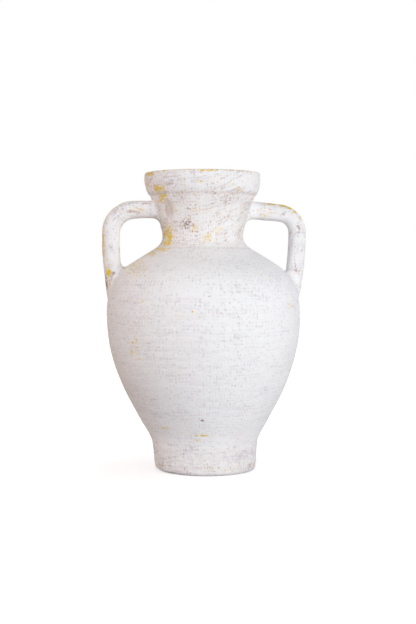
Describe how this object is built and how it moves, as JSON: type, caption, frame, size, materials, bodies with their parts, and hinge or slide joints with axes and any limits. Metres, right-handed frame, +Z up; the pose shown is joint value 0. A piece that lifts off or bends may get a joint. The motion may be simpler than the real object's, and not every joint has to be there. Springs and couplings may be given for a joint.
{
  "type": "urn vase",
  "caption": "Two-handled urn vase in whitewashed terracotta: swelling belly, flared neck with a heavy collar rim, and handles from the neck down to the shoulder.",
  "frame": {"origin": "centre of the foot's flat underside", "axes": "+Z up along the vessel's axis, handles along X, -Y towards the viewer of the picture"},
  "size_m": [0.2734, 0.2604, 0.4],
  "materials": {
    "foot_limewash": "matt limewash, scuffed to brown along the bottom edge",
    "body_limewash": "matt limewash, brushed on over canvas-rough terracotta",
    "neck_limewash": "matt limewash, rubbed through to ochre and mauve",
    "handle_limewash": "matt limewash, rubbed through to ochre along the edges"
  },
  "bodies": {
    "root": {"foot": "foot_limewash", "lower_belly": "body_limewash", "shoulder": "body_limewash", "neck": "neck_limewash", "rim": "neck_limewash", "left_handle": "handle_limewash", "right_handle": "handle_limewash", "left_neck_lute": "handle_limewash", "right_neck_lute": "handle_limewash", "left_shoulder_lute": "handle_limewash", "right_shoulder_lute": "handle_limewash"}
  },
  "joints": []
}
